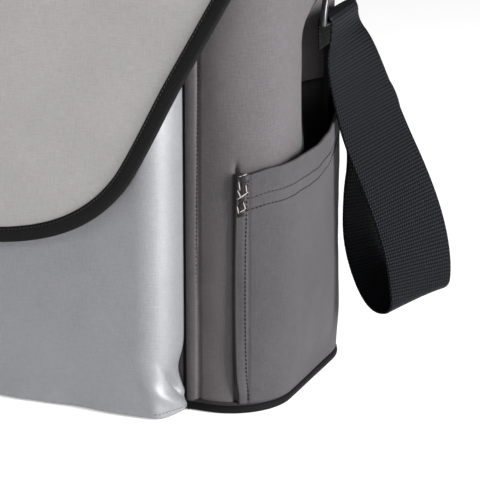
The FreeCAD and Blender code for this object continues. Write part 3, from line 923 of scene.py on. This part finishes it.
# ---- flap ----
# middle surface of the closed flap from the side, rear edge first: (y, z)
FLAP_PATH = ((94, 305.6), (60, 306.3), (10, 306.8), (-45, 306.4), (-66, 305.9), (-77.5, 304.4), (-81.5, 299),
        (-84.5, 286), (-90.5, 257), (-95.6, 234), (-97.4, 220), (-97.5, 200), (-97.5, 150), (-97.4, 100))
FLAP_FOLD_Y = -78               # where the top turns down into the front
FLAP_FOLD_Z = 303.2
FLAP_HALF_THICKNESS = 1.5
FOOT_POLES = (FLAP_BEND, (115.0, 121.9), (62.0, FLAP_FOOT_Z), (0.0, FLAP_FOOT_Z))
PANEL_INSET = 2.5               # the cloth ends this far inside the binding's edge
HINGE_PATH = ((98.2, 280), (98.4, 290), (98.8, 300), (98.4, 306.5), (94.5, 309.3), (88, 309.6), (76, 309.4))


def between(pairs, x):
    """Straight interpolation between sorted (x, value) pairs."""
    i = clamp(bisect.bisect_right(pairs, (x, 0)), 1, len(pairs) - 1)
    (x0, y0), (x1, y1) = pairs[i - 1], pairs[i]
    return y0 + (y1 - y0) * (x - x0) / (x1 - x0)


def bezier(poles, t):
    u = 1 - t
    weights = (u ** 3, 3 * u * u * t, 3 * u * t * t, t ** 3)
    return tuple(sum(w * pole[axis] for w, pole in zip(weights, poles)) for axis in (0, 1))


def flap_outline():
    """Right half of the flap's front edge, from its top corner to the middle: (x, z)."""
    straight = [(FLAP_HALF + (FLAP_BEND[0] - FLAP_HALF) * t, FLAP_FOLD_Z + (FLAP_BEND[1] - FLAP_FOLD_Z) * t)
            for t in steps(0, 1, 26)]
    line = straight[:-3] + [bezier(FOOT_POLES, t) for t in steps(0, 1, 36)][2:]
    for _ in range(3):
        line = line[:1] + [((a[0] + 2 * b[0] + c[0]) / 4, (a[1] + 2 * b[1] + c[1]) / 4)
                for a, b, c in zip(line, line[1:], line[2:])] + line[-1:]
    return line


FLAP_PROFILE = nurbs_points([(0.0, y, z) for y, z in FLAP_PATH])
FLAP_TOP = [p for p in FLAP_PROFILE if p.y >= FLAP_FOLD_Y][::4]
FLAP_FRONT = sorted((p.z, p.y) for p in FLAP_PROFILE if p.y < FLAP_FOLD_Y)
FLAP_EDGE = flap_outline()
FLAP_FOOT = sorted(FLAP_EDGE)


def flap_y(x, z):
    """Middle surface of the flap's hanging front."""
    loose = 1 - smooth(z, 130, 230)
    return between(FLAP_FRONT, z) - (0.7 * soft(x, z, 4, 70) + 0.3 * soft(x, z, 1, 26)) * loose


def flap_slope(x, z):
    return flap_y(x, z + 0.5) - flap_y(x, z - 0.5)


def flap_normal(x, z):
    return Vector((0, -1, flap_slope(x, z))).normalized()


def flap_panel():
    """One sheet from the hinge over the fold to the foot."""
    xs = steps(-FLAP_HALF + PANEL_INSET, FLAP_HALF - PANEL_INSET, 104)
    rows, vs = [], running_length(FLAP_TOP)
    for _, y, z in FLAP_TOP:
        crown = [1.2 * soft(x, y, 0, 80) * smooth(94 - y, 0, 30) * smooth(y + 70, 0, 20) for x in xs]
        rows.append([Vector((x, y, z + FLAP_HALF_THICKNESS + c)) for x, c in zip(xs, crown)])
    length, top = vs[-1], FLAP_TOP[-1].z
    for t in [0.012, 0.03, 0.05] + steps(0.075, 1, 58):
        row = []
        for x in xs:
            low = min(between(FLAP_FOOT, abs(x)) + PANEL_INSET, top - 0.6)
            z = top - t * (top - low)
            row.append(Vector((x, flap_y(x, z), z)) + flap_normal(x, z) * FLAP_HALF_THICKNESS)
        rows.append(row)
        vs.append(length + t * (top - FLAP_FOOT_Z))
    nodes = ["flap_front_panel", "flap_front_lining", "flap_top_panel", "flap_top_lining"]
    panel = cloth("flap_panel", rows, xs, vs, [FLAP, LINING_AND_SHADE], None, nodes,
            thick=2 * FLAP_HALF_THICKNESS, flip=True)
    # cloth coordinates follow the real height, so the weave keeps its size where the rows close up
    for loop, uv in zip(panel.data.loops, panel.data.uv_layers["cloth"].data):
        place = panel.data.vertices[loop.vertex_index].co
        if place.y < FLAP_FOLD_Y * MM:
            uv.uv = (place.x, (length + top) * MM - place.z)
    return panel


def flap_binding():
    """The folded tape round the flap's edge and its row of stitching."""
    half = [(Vector((FLAP_HALF, p.y, p.z)), RIGHT, UP) for p in FLAP_TOP]
    for before, (x, z), after in zip(FLAP_EDGE[1:], FLAP_EDGE[2:], FLAP_EDGE[3:] + FLAP_EDGE[-1:]):
        tx, tz = after[0] - before[0], after[1] - before[1]
        outward = Vector((-tz, flap_slope(x, z) * tx, tx)).normalized()
        half.append((Vector((x, flap_y(x, z), z)), outward, flap_normal(x, z)))
    mirrored = [[Vector((-v.x, v.y, v.z)) for v in station] for station in half[-2::-1]]
    loop = half + mirrored
    upper = [(-BINDING_WIDTH, 1.2), (-10.5, 2.2), (-9.4, 2.6), (-6, 2.7), (-2, 2.6), (-0.4, 2.0)]
    section = upper + [(0.3, 0)] + [(a, -b) for a, b in reversed(upper)]
    tape = sweep("flap_binding_tape", loop, section, [GROSGRAIN], None,
            ["flap_front_binding", "flap_top_binding_right", "flap_top_binding_left"])
    return tape, stitches("flap_binding_stitch", [[(p - a * 9.0 + b * 2.65, b) for p, a, b in loop]], None)


def hinge_strip():
    """The strip of the flap's cloth that is sewn across the hinge."""
    curve, xs = nurbs_points([(0.0, y, z) for y, z in HINGE_PATH])[::4], steps(-196, 196, 60)
    strip = cloth("flap_hinge_strip", [[Vector((x, p.y, p.z)) for x in xs] for p in curve], xs,
            running_length(curve), [FLAP, LINING_AND_SHADE], None, thick=1.2, flip=True)
    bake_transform(strip)
    for level, body, y, z, normal in (("lower", "bag", 98.45, 284, (0, 1, 0)),
            ("upper", "flap_top", 79, 309.6, (0, 0, 1))):
        line = [(Vector((x, y, z)), Vector(normal)) for x in steps(-194, 194, 50)]
        stitches("hinge_strip_" + level + "_stitch", [line], body, material=THREAD_GREY)


def flap():
    panel = flap_panel()
    tape, thread = flap_binding()
    for piece in (panel, tape, thread):
        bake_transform(piece)
    hinge_strip()


# ---- side pockets ----
# over the plan length: how far the pocket bags out, and the height of its top edge
POCKET_GAP = ((194.5, 0.9), (203, 1.0), (213, 1.4), (225, 2.6), (238, 4.0), (256, 5.2), (281, 5.5),
        (301, 4.8), (318, 2.2), (328, 1.3), (339, 0.9), (349, 0.8), (361, 0.6))
POCKET_EDGE = ((194.5, 166.0), (217, 170.0), (243, 171.5), (265, 172.0), (285, 175.5), (311, 184.0),
        (331, 193.0), (361, 205.0))
SIDE_WALL = 2.2
SIDE_BOTTOM = 7.0
HEM_LINES = (16.0, 24.0)        # rows of stitching below the mouth
EDGE_STITCH = 6.2               # row of stitching behind the front edge
BARTACK_LOW = 139.5
BARTACK_ROWS = 27
BARTACK_PITCH = 1.1
# loose light strands on the bartack: (height, rise, start, reach)
STRANDS = ((166.5, 1.5, 0.2, 4.6), (163, -6, 0.6, 0.5), (157, -4.5, 0.4, 1.4), (151.5, 2.4, 0.4, 3.6),
        (146, -5, 0.5, 0.7), (154, 1.2, 3.2, 2.2), (161, -5.5, 4.6, 0.4), (142, 1.6, 1.6, 2.6),
        (148.5, -3.8, 4.0, 0.8))


def pocket_top(a):
    return table(POCKET_EDGE, a)


def side_out(s, z):
    """Outer face of the side pocket from the plan."""
    a = abs(s)
    down = pocket_top(a) - z
    open_mouth = 2.6 * bump(a, 288, 26) * (1 - smooth(down, 0, 60))
    gap = table(POCKET_GAP, a) * smooth(z, 4, 40)
    rear_fold = -1.6 * bump(a, 334, 5.5) * smooth(z, 45, 90) * (1 - smooth(z, 150, 190))
    edge_lift = 1.5 * bump(a, SIDE_POCKET_FRONT, 6) * smooth(z, 8, 20)
    hem = 0.9 * (1 - smooth(down, 14.5, 17.0))
    for line in HEM_LINES:
        hem -= 0.5 * bump(down, line, 1.2)
    row_at = SIDE_POCKET_FRONT + EDGE_STITCH
    row = -0.8 * bump(a, row_at, 1.1)
    pucker = 0.3 * soft(s, z, 0, 6.5, 11) * (bump(a, row_at, 5) + bump(down, 20, 9))
    free = smooth(a, SIDE_POCKET_FRONT, SIDE_POCKET_FRONT + 20) * smooth(z, 8, 30)
    free *= 1 - smooth(a, 340, SIDE_POCKET_REAR)
    wrinkle = (0.8 * soft(s, z * 0.5, 0, 40, 2) + 0.35 * soft(s, z, 0, 17, 6)) * free
    swell = 1.4 * bump(a, 250, 40) * bump(z, 80, 60)
    follow = 0.6 * max(gusset_out(s, min(z, 120)), 0)
    shape = gap + open_mouth + rear_fold + edge_lift + hem + row + swell + follow
    return SIDE_WALL + shape + pucker + wrinkle


def front_edge(z):
    """Plan length of the side pocket's front edge, which bows a little."""
    return SIDE_POCKET_FRONT - 2.0 * math.sin(math.pi * clamp((z - 7) / 160.0)) ** 0.7 + 1.2 * bump(z, 12, 10)


def side_pocket(side):
    """The pocket's cloth, its topstitching, a dark strip painted as the shade behind its front edge, and the
    bartack.
    """
    ts = fine_steps(0, SIDE_POCKET_REAR - SIDE_POCKET_FRONT, 3.2, ((EDGE_STITCH, 3.2, 0.8), (0, 2.4, 0.8)))
    order = ts if side > 0 else ts[::-1]
    levels = sorted(set(steps(0, 1, 74) + [1 - 0.004 * i for i in range(9)]))
    rows, vs = [], []
    for level in levels:
        row = []
        for t in order:
            a = SIDE_POCKET_FRONT + t
            z = SIDE_BOTTOM + level * (pocket_top(a) - SIDE_BOTTOM)
            a += (front_edge(z) - SIDE_POCKET_FRONT) * (1 - smooth(t, 4, 40))
            row.append(wall_point(side * a, z, side_out(side * a, z)))
        rows.append(row)
        vs.append(SIDE_BOTTOM + level * 165)
    us = [side * t for t in order]
    cloth(sided(side, "side_pocket_canvas"), rows, us, vs, [POCKET_SIDE_SHADED, LINING_AND_SHADE], "bag",
          [sided(side, "side_pocket")], thick=SIDE_WALL)
    lines = []
    for down in HEM_LINES:
        places = [(side * a, pocket_top(a) - down)
                for a in steps(SIDE_POCKET_FRONT + 5, SIDE_POCKET_REAR - 3, 70)]
        lines.append(surface_line(places, side_out, 0.25))
    places = [(side * (front_edge(z) + EDGE_STITCH), z) for z in steps(9, 164, 60)]
    lines.append(surface_line(places, side_out, 0.25))
    stitches(sided(side, "side_pocket_topstitch"), lines, "bag")
    # a dark strip along the front edge, painted as the shade in the gap under the pocket's fold
    stations = []
    for z in steps(8, 167, 60):
        _, normal = plan(side * front_edge(z))
        middle = wall_point(side * (front_edge(z) + 0.6), z, 0.9)
        stations.append((middle, normal.cross(UP), normal))
    sweep(sided(side, "side_pocket_edge_shade"), stations,
          [(-1.7, -1.2), (1.5, -1.2), (1.5, 0.7), (-1.3, 0.7)], [THREAD_AND_SHADE_DARK], "bag")
    dark, light = [], []
    for i in range(BARTACK_ROWS):
        z = BARTACK_LOW + i * BARTACK_PITCH
        low = front_edge(z) + 0.6 + random.uniform(-0.4, 0.4)
        high = low + 5.0 + random.uniform(-0.8, 0.8)
        tilt = random.uniform(-1.1, 1.1)
        dark.append(surface_line([(side * low, z - tilt), (side * high, z + tilt)], side_out, 0.55))
    for z, rise, start, reach in STRANDS:
        low = front_edge(z) + start
        light.append(surface_line([(side * low, z), (side * (low + reach), z + rise)], side_out, 0.95))
    stitches(sided(side, "bartack_dark"), dark, "bag", pitch=6.0, radius=0.62, slant=0.0,
            nodes=[sided(side, "bartack")])
    stitches(sided(side, "bartack_light"), light, "bag", pitch=7.0, radius=0.34, material=THREAD_LIGHT,
            slant=0.05)


# over the plan length: top of the dark sheet, painted shade, that shows above the pocket's edge
MOUTH_TOP = ((258, 165.0), (266, 170.0), (275, 178.0), (283, 190.0), (293, 199.0), (305, 203.0), (325, 203.0),
        (340, 199.0))


def pocket_mouth_shade(side):
    """A dark sheet that lines the side pocket's back, painted as the shade in its open mouth."""
    along, levels = steps(MOUTH_TOP[0][0], MOUTH_TOP[-1][0], 44), steps(0, 1, 40)
    order = along if side > 0 else along[::-1]
    low = 70.0
    rows = []
    for level in levels:
        row = []
        for a in order:
            z = low + level * (table(MOUTH_TOP, a) - low)
            hem = 0.5 + 0.5 * smooth(level, 0.0, 0.3) - 0.9 * smooth(level, 0.985, 1.0)
            hem *= 1 - 0.8 * smooth(a, 316, 326)
            row.append(wall_point(side * a, z, gusset_out(side * a, z) + hem))
        rows.append(row)
    cloth(sided(side, "side_pocket_mouth_shade"), rows, [side * a for a in order], [low + 110 * v for v in levels],
          [LINING_AND_SHADE], "bag", thick=0.6)


# ---- strap fittings ----
def anchor_tab(side):
    """Narrow webbing sewn to the gusset's top and looped round the ring's arc."""
    path = ((216.1, 298.5), (216.0, 286), (215.9, 276), (216.6, 270.2), (221.5, 268.3), (226.4, 270.2),
            (226.6, 277), (225.4, 281.8), (220.2, 283.6), (218.2, 288), (218.1, 298.5))
    curve = [(p.x, p.z) for p in nurbs_points([(x, 0.0, z) for x, z in path])][::3]
    stations = []
    for i, (x, z) in enumerate(curve):
        x0, z0 = curve[max(i - 1, 0)]
        x1, z1 = curve[min(i + 1, len(curve) - 1)]
        size = math.hypot(x1 - x0, z1 - z0)
        normal = Vector((-(z1 - z0) / size * side, 0, (x1 - x0) / size))
        stations.append((Vector((side * x, RING_Y, z)), Vector((0, side, 0)), normal))
    section = [(-12, -0.5), (-11.6, -0.8), (0, -0.85), (11.6, -0.8), (12, -0.5),
            (12, 0.5), (11.6, 0.8), (0, 0.85), (-11.6, 0.8), (-12, 0.5)]
    sweep(sided(side, "anchor_tab_webbing"), stations, section[::-1], [TAB_WEBBING], "bag",
          [sided(side, "anchor_tab")])
    normal = Vector((side, 0, 0))
    a, b, c, d = (RING_Y - 9, 287), (RING_Y + 9, 287), (RING_Y + 9, 296), (RING_Y - 9, 296)
    lines = [[(Vector((side * 219.0, y, z)), normal) for y, z in line]
            for line in ((a, b), (b, c), (c, d), (d, a), (a, c), (d, b))]
    stitches(sided(side, "anchor_tab_stitch"), lines, "bag", pitch=2.4)


def strap_stitches(frames):
    """Rows of stitching where the webbing's left end is folded over its ring and sewn down."""
    lines = []
    for index in (10, 30):
        p, across, _ = frames[index]
        wide = across.normalized()
        along = (frames[index + 2][0] - frames[index - 2][0]).normalized()
        normal = along.cross(wide).normalized()
        if normal.x > 0:
            normal = -normal
        lines.append([(p + wide * t + normal * 1.1, normal) for t in steps(-22, 22, 8)])
    stitches("strap_end_stitch", lines, "shoulder_strap")


def dress(nodes, material):
    """Give CAD pieces that stay as they are their material."""
    for name in nodes:
        for material_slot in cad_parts[name].material_slots:
            material_slot.link = "OBJECT"
            material_slot.material = material


camera()
studio()
strap_frames = strap()
strap_stitches(strap_frames)
for hand in (1, -1):
    gusset(hand)
    seam_fold(hand)
    seam_shade_strip(hand)
    side_pocket(hand)
    pocket_mouth_shade(hand)
    anchor_tab(hand)
flat_panels()
base()
mouth_binding()
divider()
front_pocket()
closure_tapes()
flap()
dress(("ring_right", "ring_left"), STEEL)
dress(("base_board",), BOARD)
